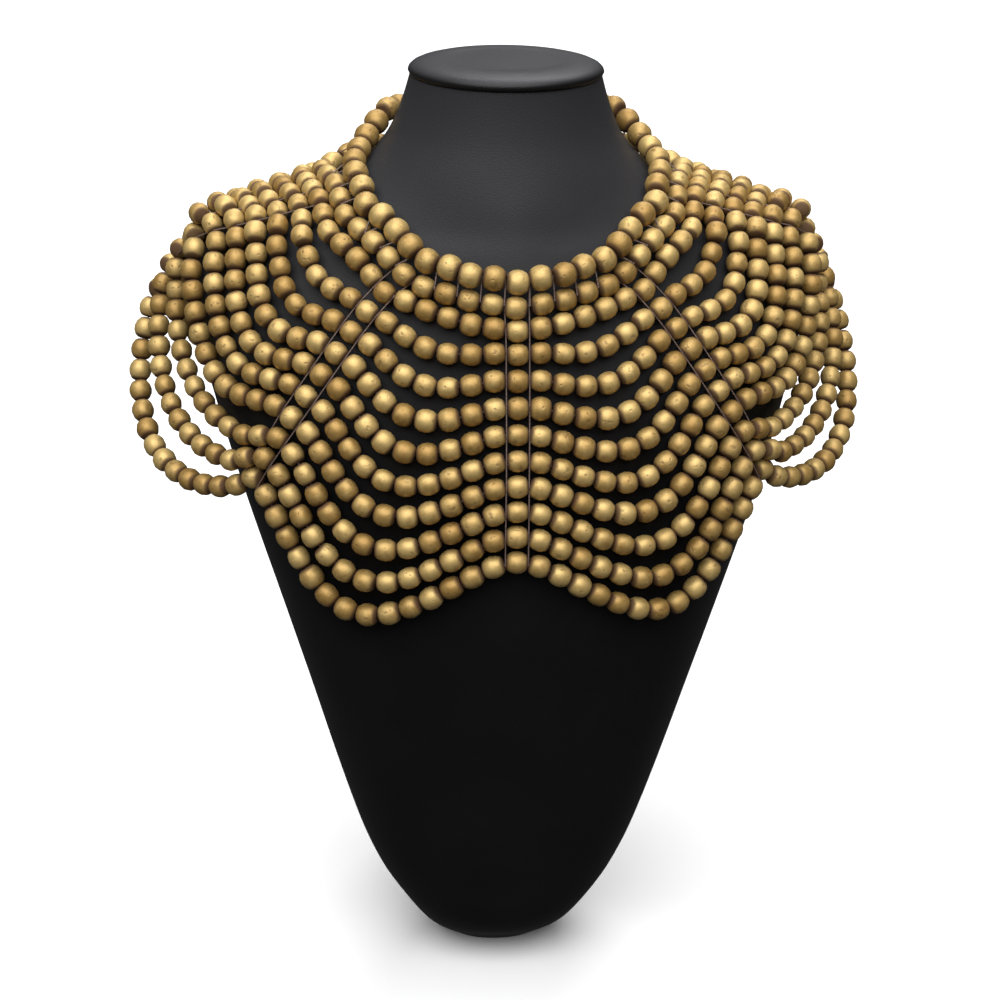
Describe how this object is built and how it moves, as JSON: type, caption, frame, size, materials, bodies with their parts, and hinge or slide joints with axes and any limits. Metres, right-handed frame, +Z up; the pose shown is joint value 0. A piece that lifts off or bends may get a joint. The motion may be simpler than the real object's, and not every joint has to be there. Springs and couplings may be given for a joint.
{
  "type": "bib necklace on neck bust",
  "caption": "Collar-like bib necklace of gold-painted round wooden beads strung in scalloped rows, worn by a plain black display bust that stands on its foot and a rear strut.",
  "frame": {"origin": "middle of the bust's flat foot, on the surface it stands on", "axes": "+Z up along the neck, the chest faces -Y, +X towards the wearer's left shoulder"},
  "size_m": [0.3392, 0.2107, 0.4303],
  "materials": {
    "leatherette": "satin, fine grain",
    "gold_beads": "matt gold paint",
    "clasp_brass": "satin"
  },
  "bodies": {
    "root": {"bust_body": "leatherette", "bust_cap": "leatherette", "bust_strut": "leatherette", "neck_row": "gold_beads", "row_02": "gold_beads", "row_03": "gold_beads", "row_04": "gold_beads", "row_05": "gold_beads", "row_06": "gold_beads", "row_07": "gold_beads", "row_08": "gold_beads", "row_09": "gold_beads", "row_10": "gold_beads", "row_11": "gold_beads", "row_12": "gold_beads", "clasp": "clasp_brass"}
  },
  "joints": []
}
